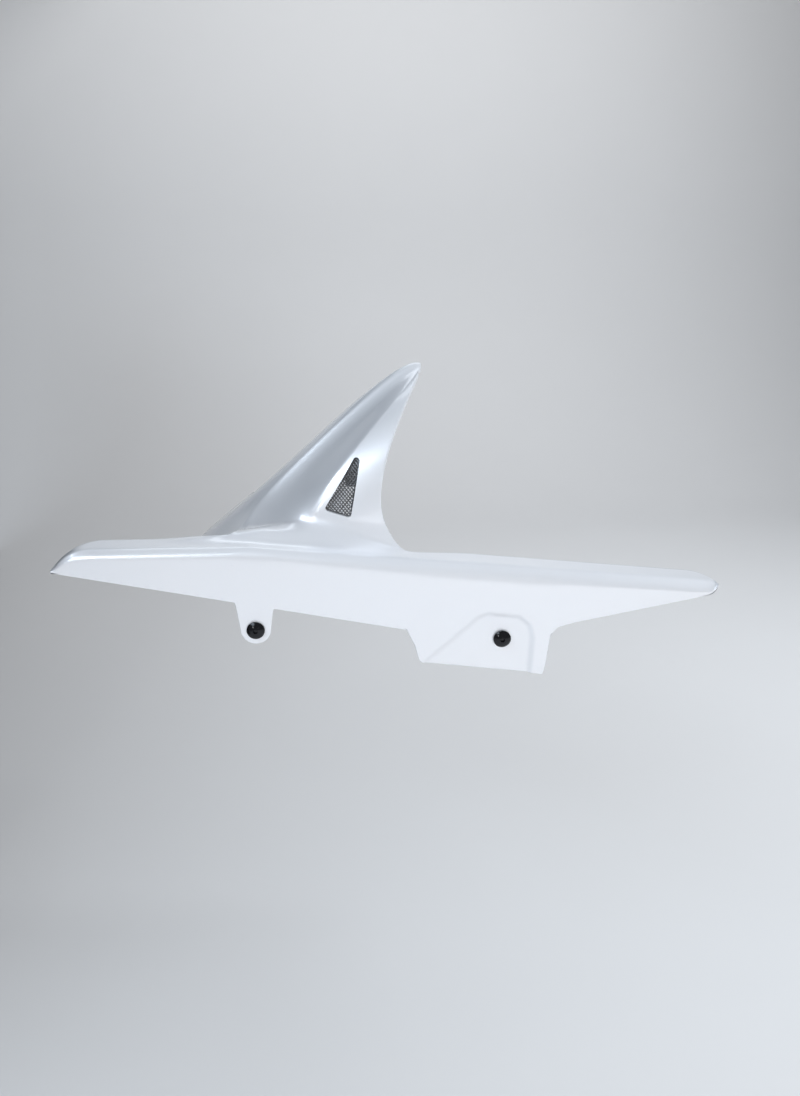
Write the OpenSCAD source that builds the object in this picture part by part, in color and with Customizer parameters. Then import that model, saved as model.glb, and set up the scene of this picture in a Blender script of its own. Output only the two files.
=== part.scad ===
// Rear hugger mudguard with an integrated chain guard, for a mid-size motorbike.
// Built about the wheel axle (x to the rear, z up, w out from the tyre's mid-plane),
// then moved so that the origin lies on the axis of the left rear fixing.

/* [Wheel] */
// Radius of the tyre that the arch hugs
tyre_r = 312; // [304:1:320]
// Width of that tyre
tyre_w = 160; // [152:1:168]

/* [Arch] */
// Thickness of the moulded wall
wall = 3; // [2.4:0.1:3.6]
// Distance from the side of the tyre to the outer face of the flank
side_gap = 12; // [9:0.5:15]
// Height of the spine above the tread at the tip
tip_gap = 25; // [20:1:32]
// Height of the spine above the tread at the front edge
front_gap = 65; // [55:1:75]
// Angle of the tip round the axle, from straight behind it
tip_angle = 111; // [106:1:116]
// Angle of the front edge of the arch round the axle
front_angle = 158.5; // [155:0.5:162]
// Depth of the hollow between the crease and the ridge
hollow = 4; // [1:0.5:6]

/* [Chain guard] */
// Distance of the nose in front of the axle
nose_x = 460; // [440:1:480]
// Distance of the rear end behind the axle
rear_x = 148; // [130:1:165]
// Height of the flat top above the axle at the front
guard_top = 170; // [160:1:176]
// Width of the flat top
strip_w = 24; // [20:1:30]
// Width of the rounded shoulder
shoulder_w = 12; // [8:0.5:16]
// Height of the lower edge above the axle at the nose
nose_low = 151; // [146:0.5:153]

/* [Left rear fixing] */
// Distance of the screw in front of the axle
fix_x = 54; // [48:1:62]
// Height of the screw above the axle
fix_z = 76; // [70:1:84]
// Depth of the pocket round the screw
pocket_d = 3; // [1.5:0.5:4]

/* [Vents] */
// Radius of the vents' corners
vent_round = 3; // [2:0.5:4]
// Thickness of the mesh panels
mesh_t = 1.2; // [0.8:0.1:2]
// Distance between the holes of the mesh along a row
mesh_pitch = 4.8; // [4.4:0.2:6]

/* [Fixings] */
// Diameter of the screws' shanks
screw_d = 6; // [5:0.5:6.5]
// Diameter of the screws' heads
head_d = 16.5; // [15:0.5:20]
// Height of the screws' heads
head_h = 4; // [3:0.5:6]
// Length of the screws' shanks
screw_l = 22; // [18:1:30]
// Outer diameter of the collars in the grommets
collar_d = 9; // [8:0.5:10]
// Diameter of the holes in the shell
hole_d = 12; // [11:0.5:13]
// Thickness of the grommets' lips
lip = 1.5; // [1:0.25:2]
// Distance of the left front fixing in front of the axle
front_fix_x = 282; // [276:1:290]
// Height of the left front fixing above the axle
front_fix_z = 92; // [88:1:96]
// Distance of the right fixing in front of the axle
right_fix_x = 225; // [215:1:235]
// Height of the right foot above the axle
right_foot_z = 74; // [68:1:80]
// Distance of the right fixing out from the flank
right_fix_out = 18; // [16:1:24]

/* [Hidden] */

guard_in = tyre_w / 2 + side_gap;
strip_out = guard_in + strip_w;
guard_out = strip_out + shoulder_w;

// A point given by its angle round the axle, its height above the tread and its half width
function over_tyre(a, gap, w) = [(tyre_r + gap) * cos(a), w, (tyre_r + gap) * sin(a)];
function mix(a, b, f) = a + (b - a) * f;
function limit(f) = min(1, max(0, f));
function smooth(f) = let (g = limit(f)) g * g * (3 - 2 * g);
function bezier(p, t) =
    p[0] * pow(1 - t, 3) + 3 * p[1] * t * pow(1 - t, 2)
    + 3 * p[2] * t * t * (1 - t) + p[3] * pow(t, 3);
function quadratic(p, t) = p[0] * pow(1 - t, 2) + 2 * p[1] * t * (1 - t) + p[2] * t * t;
function unit(v) = v / norm(v);

// Arch: feature lines from the foot to the tip
flank = guard_in;
tip_round = 80;
crease_w = 20;
crease_tip_w = 6;
crease_in = 24;
edge_drop = 16;
spine = [over_tyre(front_angle, front_gap - 3, 0), over_tyre(129.8, 14.9, 0), over_tyre(120.3, 36, 0),
         over_tyre(tip_angle, tip_gap + 1.5, 0)];
crease = [over_tyre(150.3, 30.2, 0), over_tyre(140, 21, 0), over_tyre(124, 28, 0),
          over_tyre(tip_angle + 0.15, tip_gap, 0)];
ridge = [over_tyre(140.9, -15.6, flank - 2), over_tyre(132.9, -0.7, flank - 4),
         over_tyre(121.2, 6, flank - 22), over_tyre(tip_angle + 0.5, tip_gap - 2.1, 11)];
rear = [over_tyre(131.8, -70.5, flank + 2), over_tyre(129.1, -34.8, flank + 4),
        over_tyre(118.6, 1.2, flank - 4), over_tyre(tip_angle + 0.95, tip_gap - 4, 16)];
front_point = over_tyre(front_angle + 1.5, front_gap + 4, 0);
function crease_at(t) =
    bezier(crease, t)
    + [0, mix(crease_w, crease_tip_w, t * t) + (flank - crease_in - crease_w) * pow(1 - t, 11),
       0.8 * tip_round * pow(t, 10) * (1 - t)];
function spine_at(t) =
    t < 0 ? mix(spine[0], front_point, -t) : bezier(spine, t) + [0, 0, tip_round * pow(t, 10) * (1 - t)];

// Chain guard lines, by the distance x behind the axle; the arch stands on the guard between join_x
join_x = [crease[0][0] - 5.8, ridge[0][0] - 4, rear[0][0] + 21];
join_w = guard_in + 8;
slope_x = 176 - nose_x;
top_fall = 0.101;
low_fall = 0.2;
rear_fall = 0.193;
nose_len = 28;
nose_drop = 17;
nose_plan = 36;
rear_plan = 20;
rear_turn = 8.5;
rear_turn_len = 10;
rear_low = 91;
shoulder_h = [5, 9];
shoulder_from = 140;
shoulder_run = 200;
in_run = [40, 60];
edge_left = 1.5;

function top_z(x) =
    guard_top - top_fall * max(0, x - slope_x)
    - nose_drop * pow(limit((nose_len - nose_x - x) / nose_len), 2);
// How far the flat top rises towards the foot of the arch
lift_h = 10;
lift_from = join_x[0] - 73;
lift_to = join_x[1] + 24;
lift_run = [102, 80];
function lift(x) =
    lift_h * pow(limit((x - lift_from) / lift_run[0]), 1.6) * (1 - smooth((x - lift_to) / lift_run[1]));
function drop_at(x) = mix(shoulder_h[0], shoulder_h[1], smooth((x + nose_x - shoulder_from) / shoulder_run));
// Lower edge of the outer wall: the nose line, the deep tab round the left rear fixing, the rear line
tab_line = [[-82, -4], [-78, -19], [-74, -23], [40, -37.5], [42, -29], [44, -10], [46, 3], [52, 10.5]];
tab_run = [90, 68];
function nose_line(x) = nose_low - low_fall * (x + nose_x);
tab_low = concat([[-fix_x - tab_run[0], nose_line(-fix_x - tab_run[0])]],
                 [for (p = tab_line) [p[0] - fix_x, p[1] + fix_z]],
                 [[tab_run[1] - fix_x, rear_low]]);
tab_end = len(tab_low) - 1;
function along(p, x, i = 0) =
    i >= len(p) - 2 || x <= p[i + 1][0]
        ? mix(p[i][1], p[i + 1][1], limit((x - p[i][0]) / (p[i + 1][0] - p[i][0])))
        : along(p, x, i + 1);
function low_z(x) =
    x < tab_low[0][0] ? nose_line(x)
    : x < tab_low[tab_end][0] ? along(tab_low, x)
    : rear_low + rear_fall * (x - tab_low[tab_end][0])
      + rear_turn * (1 - sqrt(1 - pow(limit((x - rear_x + rear_turn_len) / rear_turn_len), 2)));
// Inner edge of the flat top, counted out from the tyre's mid-plane
end_reach = guard_out - wall - edge_left - guard_in;
function inner_w(x) =
    x < join_x[0] ? max(mix(join_w, guard_in, smooth((join_x[0] - x) / in_run[0])),
                        guard_in + end_reach * limit((nose_plan - nose_x - x) / nose_plan))
    : x < join_x[2] ? join_w
    : max(mix(join_w, guard_in, smooth((x - join_x[2]) / in_run[1])),
          guard_in + end_reach * (1 - sqrt(1 - pow(limit((x - rear_x + rear_plan) / rear_plan), 2))));

// Outer and inner outline of the guard at one station
strip_f = [0, 0.25, 0.5, 0.66, 0.74, 0.82, 0.9, 0.96, 1];
wall_n = 4;
function turned(f) = 1 - sqrt(1 - pow(limit(f), 2));
function shoulder_z(x, w, out, deep, drop) =
    top_z(x) + lift(x) * pow(1 - limit((w - join_w) / (strip_out - join_w)), 2)
    - deep - (drop - deep) * turned((w - strip_out) / (out - strip_out));
function guard_line(x, deep) =
    let (out = guard_out - deep, inn = inner_w(x), low = low_z(x),
         drop = min(drop_at(x), max(deep + 0.5, top_z(x) - low - edge_left)),
         start = top_z(x) - drop, end = min(low, start - 1))
    concat([for (f = strip_f) let (w = mix(inn, out, f)) [x, w, shoulder_z(x, w, out, deep, drop)]],
           [for (k = [1:wall_n]) [x, out, mix(start, end, k / wall_n)]]);

n_band = 6;
n_hollow = 8;
n_rear = 8;
n_fold = 4;
n_run = 24;

function join_at(x) = [x, inner_w(x), top_z(x) + lift(x)];
// Fold from the guard at x up to the foot of the arch at b
fold_from = join_x[0] + 18;
fold_run = 40;
fold_w = 12;
function fold(x, b, t) =
    let (q = join_at(x), w = max(min(b[1] + 1, q[1]), q[1] - fold_w),
         rise = smooth((x - fold_from) / fold_run) * (q[1] - w) * 2 * lift(x) / (strip_out - join_w))
    quadratic([q, [mix(q[0], b[0], 0.5), w, q[2] + min(rise, max(0, 0.6 * (b[2] - q[2])))], b], t);
// The middle of the tyre's section nearest to p: hollows sink towards it
tyre_h = 87;
function core(p) = let (r = norm([p[0], p[2]])) [p[0], 0, p[2]] * (tyre_r - tyre_h) / r;
function sunk(p, d) = p + unit(core(p) - p) * d;
function hump(f) = 4 * f * (1 - f);
// The hollow is deepest near the crease and runs out level at the ridge
function dip(f) = 6.75 * f * pow(1 - f, 2);
function hollow_face(t, f) =
    sunk(mix(crease_at(t), bezier(ridge, t), f), hollow * sin(180 * (t * 0.8 + 0.2)) * dip(f));
function rear_face(t, f) = sunk(mix(bezier(ridge, t), bezier(rear, t), f), -2 * (1 - t) * hump(f));
// The same faces carried on below the foot: folded out on the left, straight down on the right
function below(p, t, left, x) = left ? fold(x, p, 1 + t) : p + [0, 0, edge_drop * t];
function hollow_at(t, f, left) =
    t < 0 ? below(hollow_face(0, f), t, left, mix(join_x[0], join_x[1], f)) : hollow_face(t, f);
function rear_at(t, f, left) =
    t < 0 ? below(rear_face(0, f), t, left, mix(join_x[1], join_x[2], f)) : rear_face(t, f);
function section(t, left) =
    let (a = spine_at(t), b = hollow_at(t, 0, left))
    concat([for (k = [0:n_band - 1]) let (f = k / n_band)
               [mix(a[0], b[0], f * f), b[1] * f, mix(a[2], b[2], f * f)]],
           [for (k = [0:n_hollow - 1]) hollow_at(t, k / n_hollow, left)],
           [for (k = [0:n_rear]) rear_at(t, k / n_rear, left)]);
rows = concat([for (k = [0:n_fold - 1]) k / n_fold - 1], [for (k = [0:n_run]) k / n_run]);
n_side = n_band + n_hollow + n_rear;
cols = 2 * n_side;
joined_x = concat([for (k = [0:n_hollow - 1]) mix(join_x[0], join_x[1], k / n_hollow)],
                  [for (k = [0:n_rear]) mix(join_x[1], join_x[2], k / n_rear)]);
function mirrored(p) = [p[0], -p[1], p[2]];
arch_out = [for (r = [0:len(rows) - 1])
    let (l = section(rows[r], true), m = section(rows[r], false))
    concat([for (k = [n_side:-1:1]) mirrored(m[k])], l)];
function normal(r, c) =
    let (a = arch_out[min(r + 1, len(rows) - 1)][c] - arch_out[max(r - 1, 0)][c],
         b = arch_out[r][min(c + 1, cols)] - arch_out[r][max(c - 1, 0)])
    unit(cross(a, b));
arch_in = [for (r = [0:len(rows) - 1]) [for (c = [0:cols])
    r == 0 && c >= n_side + n_band
        ? join_at(joined_x[c - n_side - n_band]) - [0, 0, wall]
        : arch_out[r][c] - wall * normal(r, c)]];

// Guard stations from the nose to the rear end
nose_fine = 40;
front_x = concat([for (f = [0, 0.05, 0.12, 0.2, 0.3, 0.42, 0.56, 0.72, 0.9]) nose_fine * f - nose_x],
                 [for (f = [0:0.2:0.8]) mix(nose_fine - nose_x, join_x[0], f)]);
function tab_x(k) = tab_low[k][0];
past_x = concat([for (k = [1:3]) tab_x(k)], [for (f = [0.1:0.1:0.9]) mix(tab_x(3), tab_x(4), f)],
                [for (k = [4:7]) tab_x(k)], [mix(tab_x(7), tab_x(8), 0.5), tab_x(8)],
                [mix(tab_x(8), tab_x(9), 0.5), tab_x(9)],
                [for (f = [0.15:0.15:0.9]) mix(tab_x(9), rear_x - rear_plan, f)],
                [for (f = [0, 0.25, 0.45, 0.62, 0.76, 0.87, 0.95, 0.99])
                    mix(rear_x - rear_plan, rear_x, f)]);
back_x = [for (x = past_x) if (x > join_x[2] + 1) x];
stations = concat(front_x, joined_x, back_x);
guard_m = len(strip_f) + wall_n - 1;
guard_o = [for (x = stations) guard_line(x, 0)];
guard_i = [for (x = stations) guard_line(x, wall)];
j0 = len(front_x);
j1 = j0 + len(joined_x) - 1;

// One closed mesh: outer and inner faces of the arch and the guard, and their rims
a_n = len(rows) * (cols + 1);
g_n = len(stations) * (guard_m + 1);
joined_c = n_side + n_band;
function a_id(r, c, s) =
    r == 0 && c >= joined_c ? g_id(j0 + c - joined_c, 0, s) : s * a_n + r * (cols + 1) + c;
function g_id(i, j, s) = 2 * a_n + s * g_n + i * (guard_m + 1) + j;
function quad(a, b, c, d, flip) = flip ? [[a, c, b], [a, d, c]] : [[a, b, c], [a, c, d]];
last_r = len(rows) - 1;
last_i = len(stations) - 1;
shell_points = concat([for (r = arch_out) each r], [for (r = arch_in) each r],
                      [for (r = guard_o) each r], [for (r = guard_i) each r]);
// Rims between the two faces, along a column or a row of the arch, and along or across the guard
function arch_rim_up(r, c, flip) =
    quad(a_id(r, c, 0), a_id(r + 1, c, 0), a_id(r + 1, c, 1), a_id(r, c, 1), flip);
function arch_rim_over(r, c, flip) =
    quad(a_id(r, c, 0), a_id(r, c + 1, 0), a_id(r, c + 1, 1), a_id(r, c, 1), flip);
function guard_rim_on(i, j, flip) =
    quad(g_id(i, j, 0), g_id(i + 1, j, 0), g_id(i + 1, j, 1), g_id(i, j, 1), flip);
function guard_rim_over(i, j, flip) =
    quad(g_id(i, j, 0), g_id(i, j + 1, 0), g_id(i, j + 1, 1), g_id(i, j, 1), flip);
shell_faces = concat(
    [for (s = [0, 1], r = [0:last_r - 1], c = [0:cols - 1])
        each quad(a_id(r, c, s), a_id(r + 1, c, s), a_id(r + 1, c + 1, s), a_id(r, c + 1, s), s == 0)],
    [for (s = [0, 1], i = [0:last_i - 1], j = [0:guard_m - 1])
        each quad(g_id(i, j, s), g_id(i + 1, j, s), g_id(i + 1, j + 1, s), g_id(i, j + 1, s), s == 0)],
    [for (r = [0:last_r - 1]) each arch_rim_up(r, 0, false)],
    [for (r = [0:last_r - 1]) each arch_rim_up(r, cols, true)],
    [for (c = [0:cols - 1]) each arch_rim_over(last_r, c, false)],
    [for (c = [0:joined_c - 1]) each arch_rim_over(0, c, true)],
    [for (i = [0:last_i - 1]) if (i < j0 || i >= j1) each guard_rim_on(i, 0, false)],
    [for (i = [0:last_i - 1]) each guard_rim_on(i, guard_m, true)],
    [for (j = [0:guard_m - 1]) each guard_rim_over(0, j, true)],
    [for (j = [0:guard_m - 1]) each guard_rim_over(last_i, j, false)]);

// Vents: a rounded triangle on each flank, and the sheet of mesh behind it
vent_at = [[128.215, -9.725], [137.45, -22.46], [135.741, -38.893]];
vent = [for (p = vent_at) let (q = over_tyre(p[0], p[1], 0)) [q[0], q[2]]];
vent_reach = 30;
mesh_gap = 0.15;
panel_t = [-0.3, 0.5];
panel_f = [0.03, 0.72];
panel_rows = 12;
panel_cols = 8;
function panel_at(r, c, deep, left) =
    let (t = mix(panel_t[0], panel_t[1], r / panel_rows),
         f = mix(panel_f[0], panel_f[1], c / panel_cols), e = 0.02,
         p = rear_at(t, f, left),
         n = unit(cross(rear_at(t + e, f, left) - p, rear_at(t, f + e, left) - p)))
    p - n * deep;
function panel_id(r, c, s) = s * (panel_rows + 1) * (panel_cols + 1) + r * (panel_cols + 1) + c;
panel_edge = concat([for (c = [0:panel_cols - 1]) [0, c]],
                    [for (r = [0:panel_rows - 1]) [r, panel_cols]],
                    [for (c = [panel_cols:-1:1]) [panel_rows, c]],
                    [for (r = [panel_rows:-1:1]) [r, 0]]);
function panel_quad(r, c, s) =
    quad(panel_id(r, c, s), panel_id(r + 1, c, s),
         panel_id(r + 1, c + 1, s), panel_id(r, c + 1, s), s == 0);
function panel_rim(a, b) =
    quad(panel_id(a[0], a[1], 0), panel_id(b[0], b[1], 0),
         panel_id(b[0], b[1], 1), panel_id(a[0], a[1], 1), true);
panel_faces = concat(
    [for (s = [0, 1], r = [0:panel_rows - 1], c = [0:panel_cols - 1]) each panel_quad(r, c, s)],
    [for (k = [0:len(panel_edge) - 1]) each panel_rim(panel_edge[k], panel_edge[(k + 1) % len(panel_edge)])]);
hole_side = mesh_pitch * 0.476;
hole_rows = 12;
hole_cols = 6;
// Signed distance of a point to the left of the line from a to b
function beside(p, a, b) = let (d = unit(b - a)) d[0] * (p[1] - a[1]) - d[1] * (p[0] - a[0]);
vent_middle = (vent[0] + vent[1]) / 2;
function in_vent(p, room) = min([for (k = [0:2]) beside(p, vent[k], vent[(k + 1) % 3])]) > -room;

// Fixings: the stack of screw, collar and grommet, outward along z from the shell's outer face
proud = 0.2;
seat = wall + lip + proud;
collar_in = screw_d + 0.4;
lip_w = 1.5;
// Thread at its pitch diameter, and the plain shank above it, which ends just past the collar
thread_d = screw_d - 0.65;
shank_d = screw_d - 0.3;
shank_past = 0.3;
tip_len = 1;
key_d = 4.62;
key_depth = 2.4;
front_set = 0.5;
tab_half = 18;
tab_round = 14;
tab_lap = 7;
foot_half = 20;
foot_round = 10;
foot_past = 6;
leg_round = 5;
leg_f = [-0.07, 0.42];
leg_drop = 12.5;
leg_set = 0.5;
leg_t = 4;

module in_place() translate([fix_x, guard_out - pocket_d - seat, -fix_z]) mirror([0, 1, 0]) children();
module fixing(x, w, z) in_place() translate([-x, w, z]) rotate([-90, 0, 0]) children();
module at_left_rear() fixing(fix_x, guard_out - pocket_d, fix_z) children();
module at_left_front() fixing(front_fix_x, guard_out - front_set, front_fix_z) children();
module at_right()
    in_place() translate([-right_fix_x, -guard_in - right_fix_out, right_foot_z + wall]) children();

// A prism across the part, drawn in side view
module across(w0, w1) translate([0, w1, 0]) rotate([90, 0, 0]) linear_extrude(w1 - w0) children();

module vent_outline() {
    hull() for (c = vent) translate(c) circle(vent_round, $fn = 32);
}
// Pocket in the deep tab, and the wall carried round behind it, counted from the left rear fixing
pocket_bevel = 4;
pocket_line = [[-22, 21], [-14, 24], [15, 20], [24, 13], [27, 2], [24, -46], [-74, -46], [-74, -21]];
back_line = [[-77, -20], [-30, 22], [-16, 29], [16, 25], [30, 16], [33, 2], [33, -36.5], [-74, -23.1]];
back_lap = 0.6;
module from_fixing() translate([-fix_x, fix_z]) children();
module pocket() {
    hull() {
        across(guard_out - pocket_d, guard_out)
            offset(r = -pocket_bevel / 2) offset(delta = pocket_bevel / 2 - 1)
                from_fixing() polygon(pocket_line);
        across(guard_out, guard_out + 1)
            offset(r = pocket_bevel - 1) from_fixing() polygon(pocket_line);
    }
}
module pocket_back() {
    across(guard_out - pocket_d - wall, guard_out - wall + back_lap) from_fixing() polygon(back_line);
}

// The leg hangs from the lower edge of the right flank, between the shares leg_f of its foot
function leg_top(f) = let (p = mix(ridge[0], rear[0], f)) [p[0], p[2] - leg_drop];
module right_foot() {
    across(leg_set - guard_in, leg_set + leg_t - guard_in) hull() {
        for (f = leg_f) translate(leg_top(f)) circle(leg_round);
        translate([-right_fix_x - foot_half, right_foot_z]) square([2 * foot_half, 1]);
    }
    translate([-right_fix_x, 0, right_foot_z]) linear_extrude(wall) hull() {
        for (s = [-1, 1])
            translate([s * (foot_half - foot_round), -guard_in - right_fix_out - foot_past])
                circle(foot_round);
        translate([-foot_half, -guard_in]) square([2 * foot_half, wall]);
    }
}

module front_tab() {
    across(guard_out - front_set - wall, guard_out - front_set) hull() {
        translate([-front_fix_x, front_fix_z]) circle(tab_round);
        translate([-front_fix_x - tab_half, low_z(-front_fix_x) + tab_lap]) square([2 * tab_half, 1]);
    }
}

module fixing_hole() translate([0, 0, -2 * wall]) cylinder(d = hole_d, h = 4 * wall, $fn = 64);

module hugger_shell() {
    color("white") difference() {
        union() {
            in_place() polyhedron(shell_points, shell_faces);
            in_place() pocket_back();
            in_place() front_tab();
            in_place() right_foot();
        }
        in_place() pocket();
        for (side = [-1, 1])
            in_place() across(side * guard_in - vent_reach, side * guard_in + vent_reach) vent_outline();
        at_left_rear() fixing_hole();
        at_left_front() fixing_hole();
        at_right() fixing_hole();
    }
}

module vent_mesh(left) {
    deep = wall + mesh_gap;
    points = [for (s = [0, 1], r = [0:panel_rows], c = [0:panel_cols])
        let (q = panel_at(r, c, deep + s * mesh_t, left)) left ? q : mirrored(q)];
    side = left ? 1 : -1;
    in_place() difference() {
        polyhedron(points, left ? panel_faces : [for (f = panel_faces) [f[0], f[2], f[1]]]);
        for (i = [-hole_cols:hole_cols], j = [-hole_rows:hole_rows])
            let (c = vent_middle + [(i + (j % 2 == 0 ? 0 : 0.5)) * mesh_pitch, j * mesh_pitch / 2])
            if (in_vent(c, vent_round))
                across(side * guard_in - vent_reach, side * guard_in + vent_reach)
                    translate(c) rotate(45) square(hole_side, center = true);
    }
}
module left_vent_mesh() color("dimgray") vent_mesh(true);
module right_vent_mesh() color("dimgray") vent_mesh(false);

module screw() {
    base = lip + proud;
    cap_h = head_h - 0.8;
    cap_r = (pow(head_d / 2, 2) + pow(cap_h, 2)) / (2 * cap_h);
    color("black") difference() {
        union() {
            translate([0, 0, base]) intersection() {
                cylinder(d = head_d, h = head_h, $fn = 64);
                translate([0, 0, head_h - cap_r]) sphere(cap_r, $fn = 96);
            }
            translate([0, 0, -seat - shank_past])
                cylinder(d = shank_d, h = base + seat + shank_past, $fn = 48);
            translate([0, 0, base - screw_l + tip_len])
                cylinder(d = thread_d, h = screw_l - tip_len - 1, $fn = 48);
            translate([0, 0, base - screw_l])
                cylinder(d1 = thread_d - 1.6, d2 = thread_d, h = tip_len, $fn = 48);
        }
        translate([0, 0, base + head_h - key_depth]) cylinder(d = key_d, h = 2 * key_depth, $fn = 6);
    }
}
module grommet() {
    lip_r = hole_d / 2 + lip_w;
    bevel = 0.5;
    color("#202020") rotate_extrude($fn = 64) polygon([
        [collar_d / 2, -wall - lip], [lip_r - bevel, -wall - lip],
        [lip_r, -wall - lip + bevel], [lip_r, -wall],
        [hole_d / 2, -wall], [hole_d / 2, 0],
        [lip_r, 0], [lip_r, lip - bevel], [lip_r - bevel, lip],
        [collar_d / 2, lip]]);
}
module collar() {
    color("silver") translate([0, 0, -seat]) difference() {
        cylinder(d = collar_d, h = seat + lip + proud, $fn = 64);
        translate([0, 0, -1]) cylinder(d = collar_in, h = seat + lip + proud + 2, $fn = 64);
    }
}

module left_rear_screw() at_left_rear() screw();
module left_rear_grommet() at_left_rear() grommet();
module left_rear_collar() at_left_rear() collar();
module left_front_screw() at_left_front() screw();
module left_front_grommet() at_left_front() grommet();
module left_front_collar() at_left_front() collar();
module right_screw() at_right() screw();
module right_grommet() at_right() grommet();
module right_collar() at_right() collar();

hugger_shell();
left_vent_mesh();
right_vent_mesh();
left_rear_screw();
left_rear_grommet();
left_rear_collar();
left_front_screw();
left_front_grommet();
left_front_collar();
right_screw();
right_grommet();
right_collar();
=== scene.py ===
import bpy
import bmesh
import math
import numpy as np
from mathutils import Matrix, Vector
from mathutils.bvhtree import BVHTree


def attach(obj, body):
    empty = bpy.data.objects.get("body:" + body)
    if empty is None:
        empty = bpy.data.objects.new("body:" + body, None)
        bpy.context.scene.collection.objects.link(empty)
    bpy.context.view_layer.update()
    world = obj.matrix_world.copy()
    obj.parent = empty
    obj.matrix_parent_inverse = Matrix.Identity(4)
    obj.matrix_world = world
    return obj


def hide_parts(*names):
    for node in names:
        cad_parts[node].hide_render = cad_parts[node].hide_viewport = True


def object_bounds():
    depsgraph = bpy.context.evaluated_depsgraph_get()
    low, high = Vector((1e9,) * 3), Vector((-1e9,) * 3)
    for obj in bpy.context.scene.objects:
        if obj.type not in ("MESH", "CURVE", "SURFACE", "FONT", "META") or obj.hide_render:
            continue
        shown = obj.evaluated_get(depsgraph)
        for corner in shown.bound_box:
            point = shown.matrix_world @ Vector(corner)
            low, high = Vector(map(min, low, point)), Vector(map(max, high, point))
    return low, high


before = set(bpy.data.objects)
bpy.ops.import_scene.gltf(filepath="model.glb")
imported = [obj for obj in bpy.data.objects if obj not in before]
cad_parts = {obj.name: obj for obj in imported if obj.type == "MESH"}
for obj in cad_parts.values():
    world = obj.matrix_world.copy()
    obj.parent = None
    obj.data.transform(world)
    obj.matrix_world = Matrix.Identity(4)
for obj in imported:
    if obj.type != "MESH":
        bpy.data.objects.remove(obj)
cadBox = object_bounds()
mm = 0.001

# sizes of the shell, in millimetres about the centre that the arch curves round:
# x to the rear, w out to the left, z up

innerRadius = 312  # the arch's heights are counted from this circle
origin = {"x": -54, "w": 120.3, "z": 76}  # the left rear fixing
shell = {
    "wall": 3,
    "flank": 92,  # w of the flanks and of the chain guard's inner edge
    "edgeRound": 0.9,  # how far the rim's rounding stands out
    "edgePower": 0.6, "edgeSteps": 5,
    "rimRows": 9,  # rows from the rim inward that make room for it
    "shoulderTurns": 45, "sheetTurns": 8, "easeStep": 0.5,  # rounds of smoothing
    "evenTurns": 30, "evenStep": 0.6,  # the same where the inner sheet is tight
    "tight": 0.25, "tightRows": 2,
    "endInset": 1,  # how far the inner sheet stays within the two ends
    "holeRadius": 6, "holeDepth": (-10, 20), "sharp": 38,
}
guard = {
    "strip": 24, "shoulder": 12,  # widths of the flat top and of its rounded shoulder
    "nose": -460, "rear": 148,
    "top": 170, "topFall": 0.101, "fallFrom": -284, "noseDip": 17, "dipRun": 28,
    "lowFront": 151, "lowFall": 0.2,  # lower edge in front of the deep tab
    "lowRise": 0.193, "endRise": 8.5, "endRun": 10,  # lower edge behind it
    "noseTaper": 36, "rearTaper": 20, "endWidth": 1.5,
    "joinFront": 40, "joinRear": 60,  # lengths over which the inner edge moves out to the arch's join
    "shoulderDrop": (5, 9), "dropFrom": -320, "dropRun": 200, "leastDrop": 0.5, "spare": 1.5, "leastWall": 1,
    "flatShare": 0.66, "bandCols": 9, "wallRows": 56,
    "noseRun": 40, "noseCols": 24, "rearRun": 20, "rearCols": 18, "endPower": 1.6,
    "runs": [(-138.5, -4, 1.3), (-4, 20, 2), (20, 128, 3)],  # from, to and step behind the arch
    "frontStep": 3,
}
rise = {  # the lift of the top strip's inner edge towards the arch
    "height": 10, "from": -376, "run": 102, "power": 1.6, "change": -250, "fadeFrom": -210, "fadeRun": 80,
}
deepTab = {  # x and z of its lower outline
    "line": [(-144, 88), (-136, 72), (-132, 57), (-128, 53), (-14, 38.5), (-12, 47), (-10, 66), (-8, 79),
             (-2, 86.5), (14, 91)],
}
pocket = {
    "depth": 3, "bevel": 4.2, "span": (-150, 0),
    "line": [(-128, 50), (-76, 96.5), (-68, 99.5), (-39, 95.5), (-30.5, 88), (-27.5, 77), (-30, 20),
             (-128, 20)],
}
frontTab = {
    "x": -282, "z": 92, "radius": 14, "lean": 13.9, "reach": 18, "rootZ": 122,
    "columns": (-0.4, 0, 0.9, 1.8, 2.7, 3.6, 4.6), "clear": 5.2, "firstColumn": 0.3,
}
arch = {
    "join": (-303, -234, -140),  # x where the crease, the ridge and the rear edge meet the guard
    "joinStep": 8,
    "tipAngle": 111, "tipHeight": 25, "frontAngle": 158.5, "frontHeight": 65,
    "creaseWidth": (20, 6), "creaseIn": 24, "creasePower": 11,
    "tipPower": 10, "creaseTip": 64, "spineTip": 80,
    "hollow": 4, "hollowStart": 0.2, "bulge": 2, "sinkRadius": 225,
    "foldOut": 1, "foldIn": 12, "foldFrom": -285, "foldRun": 40, "foldShare": 0.6, "rightDrop": 16,
    "foldRows": 14, "rows": 104, "band": 22, "hollowCols": 26, "rearCols": 24,
}
easing = {  # how freely each area may be smoothed, from 0 to 1, and where it begins
    "body": 0.35, "pocket": 0.25, "foldRows": 4, "foldCols": 2, "tipFrom": 0.9,
    "creaseTo": 0.7, "creaseCols": 2, "joinReach": 30, "joinCols": 8, "wallFrom": 24, "shoulder": (12, 30),
}

guardIn = shell["flank"]
stripOut = guardIn + guard["strip"]
guardOut = stripOut + guard["shoulder"]
joinW = guardIn + arch["joinStep"]
joinX = arch["join"]
tipAngle, tipHeight = arch["tipAngle"], arch["tipHeight"]


def toRow(p):
    return Vector((p[0] - origin["x"], origin["w"] - p[1], p[2] - origin["z"])) * mm


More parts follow.
